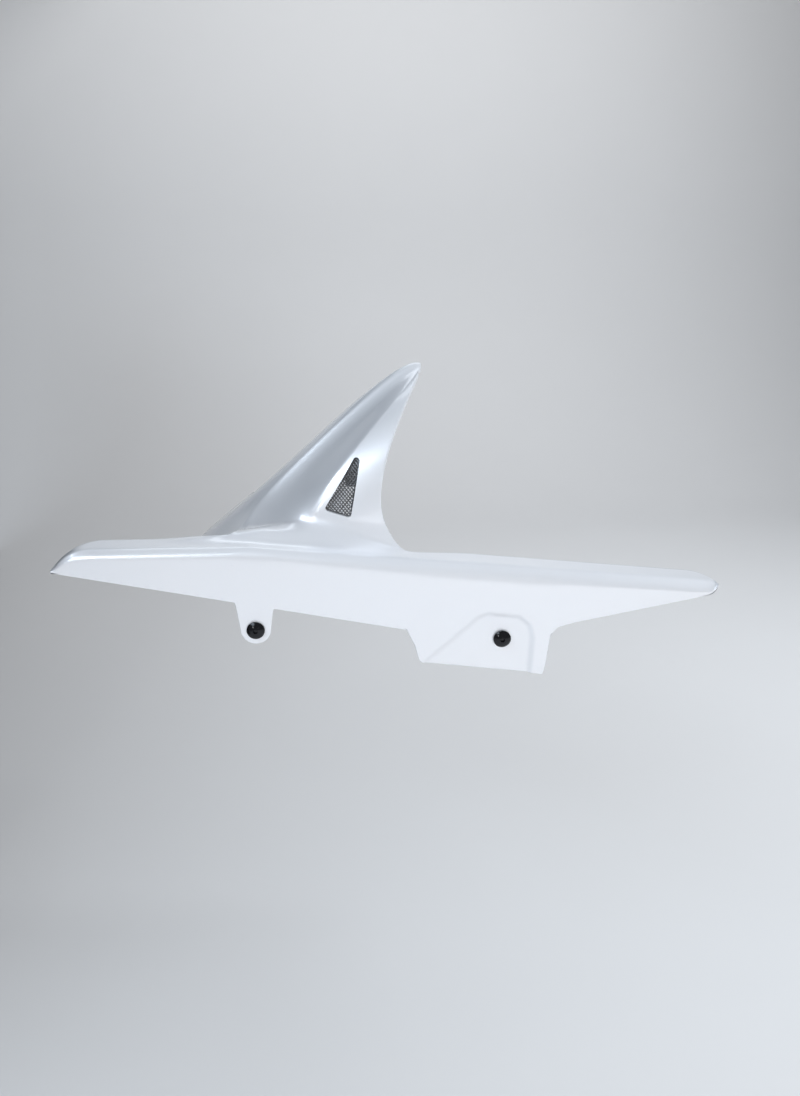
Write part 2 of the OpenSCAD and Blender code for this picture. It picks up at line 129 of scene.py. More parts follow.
def onArch(angle, height, w):
    r, a = innerRadius + height, math.radians(angle)
    return np.array((r * math.cos(a), w, r * math.sin(a)))


def mix(a, b, f):
    return a + (b - a) * f


def limit(f):
    return min(1, max(0, f))


def smooth(f):
    g = limit(f)
    return g * g * (3 - 2 * g)


def quarterRound(f):
    return 1 - math.sqrt(1 - f * f)


def bezier(p, t):
    return p[0] * (1 - t) ** 3 + 3 * p[1] * t * (1 - t) ** 2 + 3 * p[2] * t * t * (1 - t) + p[3] * t ** 3


def topZ(x):
    dip = limit((guard["dipRun"] + guard["nose"] - x) / guard["dipRun"])
    return guard["top"] - guard["topFall"] * max(0, x - guard["fallFrom"]) - guard["noseDip"] * dip ** 2


# how far the top strip's inner edge is lifted towards the arch
def lift(x):
    if x < rise["change"]:
        return rise["height"] * limit((x - rise["from"]) / rise["run"]) ** rise["power"]
    return rise["height"] * (1 - smooth((x - rise["fadeFrom"]) / rise["fadeRun"]))


def lowZ(x):
    line = deepTab["line"]
    if x < line[0][0]:
        edge, off = guard["lowFront"] - guard["lowFall"] * (x - guard["nose"]), abs(x - frontTab["x"])
        if off > frontTab["reach"]:
            return edge
        if off > frontTab["lean"]:
            f = (off - frontTab["lean"]) / (frontTab["reach"] - frontTab["lean"])
            return min(edge, mix(frontTab["z"], frontTab["rootZ"], f))
        return frontTab["z"] - math.sqrt(frontTab["radius"] ** 2 - off * off)
    if x > line[-1][0]:
        end = limit((x - guard["rear"] + guard["endRun"]) / guard["endRun"])
        return line[-1][1] + guard["lowRise"] * (x - line[-1][0]) + guard["endRise"] * quarterRound(end)
    return float(np.interp(x, [p[0] for p in line], [p[1] for p in line]))


# the guard's inner edge: out at the arch's join, in beyond it, and out to the wall at both ends
def innerW(x):
    reach = guardOut - shell["wall"] - guard["endWidth"] - guardIn
    if x < joinX[0]:
        end = limit((guard["noseTaper"] - x + guard["nose"]) / guard["noseTaper"])
        return max(mix(joinW, guardIn, smooth((joinX[0] - x) / guard["joinFront"])), guardIn + reach * end)
    if x < joinX[2]:
        return joinW
    end = quarterRound(limit((x - guard["rear"] + guard["rearTaper"]) / guard["rearTaper"]))
    return max(mix(joinW, guardIn, smooth((x - joinX[2]) / guard["joinRear"])), guardIn + reach * end)


# the four lines that carry the arch, each by an angle, a height over the inner circle and w
spine = [onArch(arch["frontAngle"], arch["frontHeight"] - 3, 0), onArch(129.8, 14.9, 0),
         onArch(120.3, 36, 0), onArch(tipAngle, tipHeight + 1.5, 0)]
crease = [onArch(150.3, 30.2, 0), onArch(140, 21, 0), onArch(124, 28, 0),
          onArch(tipAngle + 0.15, tipHeight, 0)]
ridge = [onArch(140.9, -15.6, guardIn - 2), onArch(132.9, -0.7, guardIn - 4),
         onArch(121.2, 6, guardIn - 22), onArch(tipAngle + 0.5, tipHeight - 2.1, 11)]
rear = [onArch(131.8, -70.5, guardIn + 2), onArch(129.1, -34.8, guardIn + 4),
        onArch(118.6, 1.2, guardIn - 4), onArch(tipAngle + 0.95, tipHeight - 4, 16)]
frontPoint = onArch(arch["frontAngle"] + 1.5, arch["frontHeight"] + 4, 0)


def tipRise(height, t):
    return height * t ** arch["tipPower"] * (1 - t)


def creaseAt(t):
    wide, narrow = arch["creaseWidth"]
    foot = guardIn - arch["creaseIn"] - wide
    w = mix(wide, narrow, t * t) + foot * (1 - t) ** arch["creasePower"]
    return bezier(crease, t) + np.array((0, w, tipRise(arch["creaseTip"], t)))


def spineAt(t):
    if t < 0:
        return mix(spine[0], frontPoint, -t)
    return bezier(spine, t) + np.array((0, 0, tipRise(arch["spineTip"], t)))


# a point moved by a depth towards a smaller circle
def sunk(p, depth):
    way = np.array((p[0], 0, p[2])) * arch["sinkRadius"] / math.hypot(p[0], p[2]) - p
    return p + way / np.linalg.norm(way) * depth


def hollowFace(t, f):
    start, peak = arch["hollowStart"], 27 / 4  # the peak makes the greatest depth across the face 1
    along = math.sin(math.radians(180 * (t * (1 - start) + start)))
    return sunk(mix(creaseAt(t), bezier(ridge, t), f), arch["hollow"] * along * peak * f * (1 - f) ** 2)


def rearFace(t, f):
    return sunk(mix(bezier(ridge, t), bezier(rear, t), f), -arch["bulge"] * (1 - t) * 4 * f * (1 - f))


def joinAt(x):
    return np.array((x, innerW(x), topZ(x) + lift(x)))


# the skin's bend from the flat top of the guard, at t = 0, to the foot of the flank, at t = 1
def fold(x, foot, t):
    start = joinAt(x)
    w = max(min(foot[1] + arch["foldOut"], start[1]), start[1] - arch["foldIn"])
    steep = (start[1] - w) * 2 * lift(x) / (stripOut - joinW)
    up = min(smooth((x - arch["foldFrom"]) / arch["foldRun"]) * steep,
             max(0, arch["foldShare"] * (foot[2] - start[2])))
    bend = np.array((mix(start[0], foot[0], 0.5), w, start[2] + up))
    return start * (1 - t) ** 2 + 2 * bend * t * (1 - t) + foot * t * t


# under the foot of the arch: the fold on the left, a plain strip on the right
def below(p, t, left, x):
    return fold(x, p, 1 + t) if left else p + np.array((0, 0, arch["rightDrop"] * t))


def hollowAt(t, f, left):
    return below(hollowFace(0, f), t, left, mix(joinX[0], joinX[1], f)) if t < 0 else hollowFace(t, f)


def rearAt(t, f, left):
    return below(rearFace(0, f), t, left, mix(joinX[1], joinX[2], f)) if t < 0 else rearFace(t, f)


# columns between the crease and the ridge, closer together over the sides of the front tab
def tabSteps():
    span, n = joinX[1] - joinX[0], arch["hollowCols"]
    ends = [frontTab["x"] - frontTab["reach"], frontTab["x"] + frontTab["reach"]]
    spots = [joinX[0] + span * k / n for k in range(n)]
    spots = [x for x in spots if min(abs(x - end) for end in ends) > frontTab["clear"]]
    for end, side in zip(ends, (1, -1)):
        spots += [end + side * d for d in frontTab["columns"]]
    return [(x - joinX[0]) / span for x in sorted(spots) if x > joinX[0] + frontTab["firstColumn"]]


hollowSteps = [0.0] + tabSteps()
rearSteps = [k / arch["rearCols"] for k in range(arch["rearCols"] + 1)]


# one row of points over the arch, from the spine down to the rear edge
def section(t, left):
    a, b = spineAt(t), hollowAt(t, 0, left)
    row = []
    for k in range(arch["band"]):
        f = k / arch["band"]
        row.append(np.array((mix(a[0], b[0], f * f), b[1] * f, mix(a[2], b[2], f * f))))
    row += [hollowAt(t, f, left) for f in hollowSteps]
    row += [rearAt(t, f, left) for f in rearSteps]
    return row


def within(x, z, outline):
    inside = False
    for (x0, z0), (x1, z1) in zip(outline, outline[1:] + outline[:1]):
        if (z0 > z) != (z1 > z) and x < (x1 - x0) * (z - z0) / (z1 - z0) + x0:
            inside = not inside
    return inside


# how deep the pocket is at a point of the outer wall
def pocketDepth(x, z):
    line, reach = pocket["line"], math.inf
    for (x0, z0), (x1, z1) in zip(line, line[1:] + line[:1]):
        dx, dz = x1 - x0, z1 - z0
        f = limit(((x - x0) * dx + (z - z0) * dz) / (dx * dx + dz * dz))
        reach = min(reach, math.hypot(x - x0 - f * dx, z - z0 - f * dz))
    d = reach if within(x, z, line) else -reach
    return pocket["depth"] * limit((d + pocket["bevel"]) / pocket["bevel"])


# one row across the chain guard, from its inner edge over the shoulder and down the outer wall
def guardRow(x):
    inn, low, top = innerW(x), lowZ(x), topZ(x)
    drop = mix(*guard["shoulderDrop"], smooth((x - guard["dropFrom"]) / guard["dropRun"]))
    drop = min(drop, max(guard["leastDrop"], top - low - guard["spare"]))
    n, flat = guard["bandCols"], guard["flatShare"]
    across = [(k / n) * flat for k in range(n + 1)]
    across += [flat + (1 - flat) * math.sin(math.pi / 2 * k / n) for k in range(1, n + 1)]
    row = []
    for f in across:
        w = mix(inn, guardOut, f)
        up = lift(x) * (1 - limit((w - joinW) / (stripOut - joinW))) ** 2
        down = drop * quarterRound(limit((w - stripOut) / (guardOut - stripOut)))
        row.append(np.array((x, w, top + up - down)))
    start = top - drop
    low = min(low, start - guard["leastWall"])
    inPocket = pocket["span"][0] < x < pocket["span"][1]
    for k in range(1, guard["wallRows"] + 1):
        z = mix(start, low, k / guard["wallRows"])
        row.append(np.array((x, guardOut - (pocketDepth(x, z) if inPocket else 0), z)))
    return row


# the shell as one smooth sheet, then given its wall and its rounded rim

def runOf(a, b, step):
    n = max(1, round(abs(b - a) / step))
    return [mix(a, b, k / n) for k in range(n)]


def guardStations():
    nose, tail, power = guard["nose"], guard["rear"], guard["endPower"]
    front = [nose + guard["noseRun"] * (k / guard["noseCols"]) ** power for k in range(guard["noseCols"])]
    front += runOf(nose + guard["noseRun"], joinX[0], guard["frontStep"])
    joined = [mix(joinX[0], joinX[1], f) for f in hollowSteps]
    joined += [mix(joinX[1], joinX[2], f) for f in rearSteps]
    back = [x for run in guard["runs"] for x in runOf(*run)]
    n = guard["rearCols"]
    back += [tail - guard["rearRun"] * (1 - k / n) ** power for k in range(n + 1)]
    return front + joined + back, len(front)


def gridFaces(ids):
    faces = []
    for a, b in zip(ids, ids[1:]):
        faces += [(a[c], a[c + 1], b[c + 1], b[c]) for c in range(len(a) - 1)]
    return faces


def shellSheet():
    heights = [k / arch["foldRows"] - 1 for k in range(arch["foldRows"])]
    heights += [k / arch["rows"] for k in range(arch["rows"] + 1)]
    stations, firstStation = guardStations()
    side = arch["band"] + len(hollowSteps) + arch["rearCols"]
    firstJoined = side + arch["band"]
    points, guardIds, archIds = [], [], []
    for x in stations:
        row = guardRow(x)
        guardIds.append(list(range(len(points), len(points) + len(row))))
        points += row
    for r, t in enumerate(heights):
        left, right = section(t, True), section(t, False)
        ids = []
        for c, p in enumerate([p * np.array((1, -1, 1)) for p in right[:0:-1]] + left):
            if r == 0 and c >= firstJoined:
                ids.append(guardIds[firstStation + c - firstJoined][0])
            else:
                ids.append(len(points))
                points.append(p)
        archIds.append(ids)
    # how freely each point may be smoothed, and the shoulder's rows, which are rounded further
    loose, shoulder = np.zeros(len(points)), np.zeros(len(points))
    for r, ids in enumerate(archIds):
        for c, v in enumerate(ids):
            inFold = r < arch["foldRows"] + easing["foldRows"] and c > firstJoined + easing["foldCols"]
            nearCrease = abs(abs(c - side) - arch["band"]) < easing["creaseCols"]
            onCrease = nearCrease and r < len(heights) * easing["creaseTo"]
            free = inFold or r > len(heights) * easing["tipFrom"]
            loose[v] = max(loose[v], 1 if free else 0 if onCrease else easing["body"])
    for x, ids in zip(stations, guardIds):
        nearJoin = joinX[0] - easing["joinReach"] < x < joinX[2] + easing["joinReach"]
        if nearJoin:
            loose[ids[:easing["joinCols"]]] = 1
        if pocket["span"][0] < x < pocket["span"][1]:
            loose[ids[easing["wallFrom"] + 1:]] = easing["pocket"]
        shoulder[ids[slice(*easing["shoulder"])]] = 1
    return np.array(points), gridFaces(guardIds) + gridFaces(archIds), loose, shoulder


# every edge once, and those that only one face has
def sheetEdges(faces):
    f = np.array(faces)
    pairs = np.concatenate([f[:, [0, 1]], f[:, [1, 2]], f[:, [2, 3]], f[:, [3, 0]]])
    edges, count = np.unique(np.sort(pairs, axis=1), axis=0, return_counts=True)
    return edges, edges[count == 1]


# where the mean of each point's neighbours lies
def around(pts, edges):
    total = np.zeros_like(pts)
    np.add.at(total, edges[:, 0], pts[edges[:, 1]])
    np.add.at(total, edges[:, 1], pts[edges[:, 0]])
    return total / np.bincount(edges.ravel(), minlength=len(pts)).astype(float)[:, None]


# smoothing by steps towards the neighbours, as far as each point's weight lets it
def relax(pts, edges, weight, turns):
    for _ in range(turns):
        pts = pts + (around(pts, edges) - pts) * (weight[:, None] * shell["easeStep"])
    return pts


def unit(v):
    return v / np.maximum(np.linalg.norm(v, axis=-1), 1e-9)[..., None]


# outward normals: w runs against the row's y, so the faces' own turn points in
def sheetNormals(pts, faces):
    f = np.array(faces)
    turn = np.cross(pts[f[:, 2]] - pts[f[:, 0]], pts[f[:, 3]] - pts[f[:, 1]])
    total = np.zeros_like(pts)
    for k in range(4):
        np.add.at(total, f[:, k], turn)
    return -unit(total)


# where the wall is thicker than a bend is round, the inner sheet folds over itself: it is evened out there
def untangle(outer, inner, edges, rim):
    start, end = edges[:, 0], edges[:, 1]
    along = outer[end] - outer[start]
    size = np.maximum((along ** 2).sum(axis=1), 1e-9)
    for _ in range(shell["evenTurns"]):
        folded = ((inner[end] - inner[start]) * along).sum(axis=1) / size < shell["tight"]
        tight = np.zeros(len(outer))
        np.maximum.at(tight, start, folded)
        np.maximum.at(tight, end, folded)
        for _ in range(shell["tightRows"]):
            spread = tight.copy()
            np.maximum.at(spread, start, tight[end])
            np.maximum.at(spread, end, tight[start])
            tight = spread
        tight[rim] = 0
        inner = inner + (around(inner, edges) - inner) * tight[:, None] * shell["evenStep"]
    return inner


# the rim and, less and less, the rows behind it are drawn in by the depth of the rim's rounding
def drawIn(pts, edges, loop, away):
    both = np.concatenate([edges, edges[:, ::-1]])
    move, shares, done = np.zeros_like(pts), np.zeros(len(pts)), np.zeros(len(pts), bool)
    move[loop], shares[loop], done[loop] = away, 1, True
    for fade in np.linspace(1, 0, shell["rimRows"], endpoint=False)[1:]:
        near = both[done[both[:, 0]] & ~done[both[:, 1]]]
        total = np.zeros_like(pts)
        np.add.at(total, near[:, 1], move[near[:, 0]])
        fresh = np.unique(near[:, 1])
        move[fresh], shares[fresh], done[fresh] = unit(total[fresh]), fade, True
    return pts - move * shares[:, None] * shell["edgeRound"]


# the rim's points in order, in the direction of their own faces
def rimLoop(faces, rimEdges):
    onRim = {tuple(edge) for edge in rimEdges.tolist()}
    following = {}
    for f in faces:
        for a, b in zip(f, f[1:] + f[:1]):
            if (min(a, b), max(a, b)) in onRim:
                following[a] = b
    loop = [next(iter(following))]
    while following[loop[-1]] != loop[0]:
        loop.append(following[loop[-1]])
    return loop


def plainMesh(name, verts, faces):
    mesh = bpy.data.meshes.new(name)
    mesh.from_pydata(verts, [], faces)
    return mesh


def linked(name, data):
    piece = bpy.data.objects.new(name, data)
    bpy.context.scene.collection.objects.link(piece)
    return piece


def allSmooth(mesh, sharp=None):
    mesh.polygons.foreach_set("use_smooth", [True] * len(mesh.polygons))
    if sharp:
        mesh.set_sharp_from_angle(angle=math.radians(sharp))


# the outer sheet, the inner sheet a wall's thickness behind it, and the rounded rim between them
def makeShell():
    pts, faces, loose, shoulder = shellSheet()
    edges, rimEdges = sheetEdges(faces)
    loose[rimEdges.ravel()] = 0
    shoulder[rimEdges.ravel()] = 0
    pts = relax(pts, edges, shoulder, shell["shoulderTurns"])
    pts = relax(pts, edges, loose, shell["sheetTurns"])
    normals = sheetNormals(pts, faces)
    loop = rimLoop(faces, rimEdges)
    away = unit(np.cross(normals[loop], pts[np.roll(loop, -1)] - pts[np.roll(loop, 1)]))
    pts = drawIn(pts, edges, loop, away)
    inner = untangle(pts, pts - normals * shell["wall"], edges, loop)
    inner[:, 0] = np.clip(inner[:, 0], guard["nose"] + shell["endInset"], guard["rear"] - shell["endInset"])
    verts = list(pts) + list(inner)
    steps, rings = shell["edgeSteps"], []
    for v, out in zip(loop, away):
        mid, half = (pts[v] + inner[v]) / 2, (pts[v] - inner[v]) / 2
        ids = [v] + list(range(len(verts), len(verts) + steps - 1)) + [v + len(pts)]
        for k in range(1, steps):
            a = math.pi * k / steps
            proud = shell["edgeRound"] * math.sin(a) ** shell["edgePower"]
            verts.append(mid + half * math.cos(a) + out * proud)
        rings.append(ids)
    quads = list(faces) + [tuple(reversed([v + len(pts) for v in f])) for f in faces]
    for ring, following in zip(rings, rings[1:] + rings[:1]):
        quads += [(following[s], ring[s], ring[s + 1], following[s + 1]) for s in range(steps)]
    mesh = plainMesh("hugger", [toRow(p) for p in verts], quads)
    mesh.materials.append(None)
    mesh.materials.append(None)
    inside = np.zeros(len(quads), np.int32)
    inside[len(faces):2 * len(faces)] = 1
    mesh.polygons.foreach_set("material_index", inside)
    allSmooth(mesh)
    mesh.validate()
    print("shell sheet:", len(quads), "faces")
    return linked("hugger", mesh)


# outlines, holes and the right leg

leg = {
    "x": -225, "low": 74, "half": 20, "plate": (4.5, 0.5), "foot": 3, "edge": 0.7,
    "out": 18, "past": 6, "round": 10, "rootIn": 4,  # the foot, which turns outward
    "top": 5, "drop": 12.5, "shares": (-0.07, 0.42),  # how it meets the flank
}
vent = {
    "corners": [(-187, 237.5), (-213.3, 195.8), (-195.6, 190.6)], "round": 3, "cutReach": 30,
    "meshGap": 0.65, "pitch": 2.45, "strandRadius": 0.62, "tilt": 40, "weave": 0.22, "reach": 45,
    "panelEdge": 2.2, "borderOut": 3.5, "borderIn": 0.9, "borderDepth": 0.6, "borderBack": 0.8, "sharp": 50,
}


def rowXZ(points):
    return [((x - origin["x"]) * mm, (z - origin["z"]) * mm) for x, z in points]


# the same seen from above, for the right side
def rowXY(points):
    return [((x - origin["x"]) * mm, (w + origin["w"]) * mm) for x, w in points]


def arc(x, z, r, start, end, n=12):
    angles = [math.radians(mix(start, end, k / n)) for k in range(n + 1)]
    return [(x + r * math.cos(a), z + r * math.sin(a)) for a in angles]


def circle(x, z, r, n=48):
    return arc(x, z, r, 0, 360, n)[:-1]


# the vent's three rounded corners, made larger or smaller all round
def ventOutline(grow, count=16):
    corners, r = vent["corners"], vent["round"] + grow
    middle = np.mean(corners, axis=0)
    ring = sorted(corners, key=lambda c: math.atan2(c[1] - middle[1], c[0] - middle[0]))
    out = []
    for k in range(3):
        a, b, c = ring[k - 1], ring[k], ring[(k + 1) % 3]
        start = math.atan2(b[1] - a[1], b[0] - a[0]) - math.pi / 2
        end = math.atan2(c[1] - b[1], c[0] - b[0]) - math.pi / 2
        while end < start:
            end += 2 * math.pi
        out += arc(*b, r, math.degrees(start), math.degrees(end), count)
    return out


# an outline pushed from lo to hi along y, or along z when it lies flat
def cutter(name, outline, lo, hi, flat=False):
    n = len(outline)
    verts = [(a, b, h) if flat else (a, h, b) for h in (lo, hi) for a, b in outline]
    faces = [tuple(range(n)), tuple(reversed(range(n, 2 * n)))]
    faces += [(k, k + n, (k + 1) % n + n, (k + 1) % n) for k in range(n)]
    mesh = plainMesh(name, verts, faces)
    bm = bmesh.new()
    bm.from_mesh(mesh)
    bmesh.ops.recalc_face_normals(bm, faces=bm.faces)
    bm.to_mesh(mesh)
    bm.free()
    return linked(name, mesh)


# the same with rounded edges, and with places for both of the shell's finishes
def slab(name, outline, lo, hi, flat=False):
    tool = cutter(name, outline, lo, hi, flat)
    bm = bmesh.new()
    bm.from_mesh(tool.data)
    rims = [e for e in bm.edges if any(len(f.verts) > 4 for f in e.link_faces)]
    bmesh.ops.bevel(bm, geom=rims, offset=leg["edge"] * mm, segments=3, affect="EDGES", profile=0.5)
    for f in bm.faces:
        f.smooth = True
    bm.to_mesh(tool.data)
    bm.free()
    tool.data.materials.append(None)
    tool.data.materials.append(None)
    return tool


def cut(piece, tool, operation="DIFFERENCE"):
    modifier = piece.modifiers.new("cut", "BOOLEAN")
    modifier.operation, modifier.solver, modifier.object = operation, "MANIFOLD", tool
    graph = bpy.context.evaluated_depsgraph_get()
    mesh = bpy.data.meshes.new_from_object(piece.evaluated_get(graph))
    piece.modifiers.clear()
    old = piece.data
    piece.data = mesh
    bpy.data.meshes.remove(old)
    bpy.data.objects.remove(tool)


# the right leg: a plate down from the flank and a foot turned out from it
def addLeg(piece):
    x, low, half, turn = leg["x"], leg["low"], leg["half"], leg["round"]
    a, b = [mix(ridge[0], rear[0], f) for f in leg["shares"]]
    side = arc(a[0], a[2] - leg["drop"], leg["top"], 180, 90)
    side += arc(b[0], b[2] - leg["drop"], leg["top"], 90, 0)
    side += [(x + half, low), (x - half, low)]
    inner, outer = [(origin["w"] + guardIn - d) * mm for d in leg["plate"]]
    cut(piece, slab("legPlate", rowXZ(side), inner, outer), "UNION")
    root, end = guardIn - leg["rootIn"], guardIn + leg["out"] + leg["past"]
    plan = arc(x - half + turn, end, turn, 180, 90) + arc(x + half - turn, end, turn, 90, 0)
    plan = [(x - half, root)] + plan + [(x + half, root)]
    z = (low - origin["z"]) * mm
    cut(piece, slab("legFoot", rowXY(plan), z, z + leg["foot"] * mm, True), "UNION")
    hole = circle(x, guardIn + leg["out"], shell["holeRadius"])
    lo, hi = [z + d * mm for d in shell["holeDepth"]]
    cut(piece, cutter("legHole", rowXY(hole), lo, hi, True))


hugger = makeShell()
for side in (1, -1):
    y, reach = (origin["w"] - side * guardIn) * mm, vent["cutReach"] * mm
    cut(hugger, cutter("ventCut", rowXZ(ventOutline(0)), y - reach, y + reach))
addLeg(hugger)
for spot in (origin, frontTab):
    hole = circle(spot["x"], spot["z"], shell["holeRadius"])
    lo, hi = [d * mm for d in shell["holeDepth"]]
    cut(hugger, cutter("fixingHole", rowXZ(hole), lo, hi))
# the rounded rims stay within the part's own box
for v in hugger.data.vertices:
    v.co = [min(max(c, lo), hi) for c, lo, hi in zip(v.co, cadBox[0], cadBox[1])]
print("shell cut:", len(hugger.data.polygons), "faces")
hugger.data.set_sharp_from_angle(angle=math.radians(shell["sharp"]))
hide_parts("hugger_shell")
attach(hugger, "root")


# finishes

class Socket:
    def __init__(self, out):
        self.out, self.tree = out, out.id_data

    # any other node: its settings are set first, then the values or links of its sockets
    def node(self, kind, give, sockets, **settings):
        made = self.tree.nodes.new(kind)
        for name, value in settings.items():
            setattr(made, name, value)
        for name, value in sockets.items():
            if isinstance(value, Socket):
                self.tree.links.new(value.out, made.inputs[name])
            else:
                made.inputs[name].default_value = value
        return Socket(made.outputs[give])

    def other(self, give):
        return Socket(self.out.node.outputs[give])

    def maths(self, operation, *others):
        return self.node("ShaderNodeMath", 0, dict(enumerate((self, *others))), operation=operation)

    def __add__(self, other):
        return self.maths("ADD", other)

    def __mul__(self, other):
        return self.maths("MULTIPLY", other)

    def __truediv__(self, other):
        return self.maths("DIVIDE", other)

    def __rtruediv__(self, other):
        return self.node("ShaderNodeMath", 0, {0: other, 1: self}, operation="DIVIDE")

    __radd__, __rmul__ = __add__, __mul__


def noise(where, scale, **more):
    return where.node("ShaderNodeTexNoise", "Fac", {"Vector": where, "Scale": scale, **more})


def between(factor, a, b):
    sockets = {"Factor": factor, "A": (*a, 1), "B": (*b, 1)}
    return factor.node("ShaderNodeMix", "Result", sockets, data_type="RGBA")


def bump(height, strength, distance):
    sockets = {"Height": height, "Strength": strength, "Distance": distance}
    return height.node("ShaderNodeBump", "Normal", sockets)


def newFinish(name, fixed):
    material = bpy.data.materials.new(name)
    material.use_nodes = True
    shader = material.node_tree.nodes["Principled BSDF"]
    for socketName, value in fixed.items():
        shader.inputs[socketName].default_value = value
    coords = material.node_tree.nodes.new("ShaderNodeTexCoord")
    return material, shader, Socket(coords.outputs["Object"])


def feed(shader, values):
    for socketName, value in values.items():
        value.tree.links.new(value.out, shader.inputs[socketName])


pearl = {
    "base": (0.80, 0.825, 0.875), "warm": (0.85, 0.855, 0.88), "rough": 0.30, "roughCloud": 0.04,
    "roughFlake": 0.05, "sheen": 0.38, "coat": 0.09, "peel": 0.05, "peelDepth": 0.0004,
    "cloudScale": 9, "flakeScale": 2600, "peelScale": 420, "cloudShare": 0.6,
}
moulded = {
    "dark": (0.035, 0.035, 0.037), "light": (0.055, 0.055, 0.058), "rough": 0.45, "roughGrain": 0.15,
    "grainScale": 900, "cloudScale": 14, "grain": 0.25, "grainDepth": 0.0003,
}
satin = {
    "dark": 0.8, "light": 1.3, "wornScale": 12, "roughGrain": 0.12, "roughWorn": 0.08, "grainDepth": 0.0002,
}


def pearlWhite():
    material, shader, where = newFinish("pearlWhite", {
        "Coat Weight": 1.0, "Coat Roughness": pearl["coat"], "Coat IOR": 1.5, "IOR": 1.5,
        "Metallic": pearl["sheen"],
    })
    cloud = noise(where, pearl["cloudScale"])
    flake = where.node("ShaderNodeTexVoronoi", "Color", {"Vector": where, "Scale": pearl["flakeScale"]})
    glint = flake.node("ShaderNodeSeparateColor", "Red", {"Color": flake})
    tone = (cloud * pearl["cloudShare"] + glint * (1 - pearl["cloudShare"])).maths("MINIMUM", 1.0)
    peel = noise(where, pearl["peelScale"], Detail=1)
    feed(shader, {
        "Base Color": between(tone, pearl["base"], pearl["warm"]),
        "Roughness": glint * pearl["roughFlake"] + cloud * pearl["roughCloud"] + pearl["rough"],
        "Normal": bump(peel, pearl["peel"], pearl["peelDepth"]),
    })
    return material


def mouldedInside():
    material, shader, where = newFinish("mouldedInside", {"Specular IOR Level": 0.4})
    grain, cloud = noise(where, moulded["grainScale"]), noise(where, moulded["cloudScale"])
    feed(shader, {
        "Base Color": between(cloud, moulded["dark"], moulded["light"]),
        "Roughness": grain * moulded["roughGrain"] + moulded["rough"],
        "Normal": bump(grain, moulded["grain"], moulded["grainDepth"]),
    })
    return material


def satinFinish(name, shade, rough, relief, scale, metal=0.0):
    material, shader, where = newFinish(name, {"Metallic": metal})
    grain, worn = noise(where, scale), noise(where, scale / satin["wornScale"])
    dark, light = [[c * satin[tone] for c in shade] for tone in ("dark", "light")]
    feed(shader, {
        "Base Color": between(worn, dark, light),
        "Roughness": grain * satin["roughGrain"] + worn * satin["roughWorn"] + rough,
        "Normal": bump(grain, relief, satin["grainDepth"]),
    })
    return material


finishes = {
    "pearl": pearlWhite(),
    "inside": mouldedInside(),
    "mesh": satinFinish("meshBlack", (0.13, 0.13, 0.135), 0.18, 0.1, 2400, 0.5),
    "screw": satinFinish("screwBlack", (0.012, 0.012, 0.014), 0.05, 0.05, 1600, 0.4),
    "rubber": satinFinish("grommetRubber", (0.022, 0.022, 0.023), 0.62, 0.35, 1800),
    "steel": satinFinish("collarZinc", (0.55, 0.55, 0.57), 0.2, 0.1, 1500, 1.0),
}
hugger.data.materials[0] = finishes["pearl"]
hugger.data.materials[1] = finishes["inside"]
fixings = {
    "spots": ("left_rear", "left_front", "right"), "sharp": 32,
    "finish": {"screw": "screw", "grommet": "rubber", "collar": "steel"},
}
for spot in fixings["spots"]:
    for part, finish in fixings["finish"].items():
        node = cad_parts[spot + "_" + part]
        node.data.materials.clear()
        node.data.materials.append(finishes[finish])
        allSmooth(node.data, fixings["sharp"])
print("finishes on")


# mesh behind the vents

panel = {
    "rows": 70, "cols": 44, "t": (-0.5, 0.62), "f": (-0.08, 0.85),  # how much of the flank's face it follows
    "step": 0.01, "sample": 0.9, "sides": 6, "waves": 2.2, "rayLength": 0.3, "behind": 60,
}


def panelPoint(t, f, left, deep):
    e = panel["step"]
    p = rearAt(t, f, left)
    n = np.cross(rearAt(t + e, f, left) - p, rearAt(t, f + e, left) - p)
    p = p - n / np.linalg.norm(n) * deep
    return p if left else p * np.array((1, -1, 1))


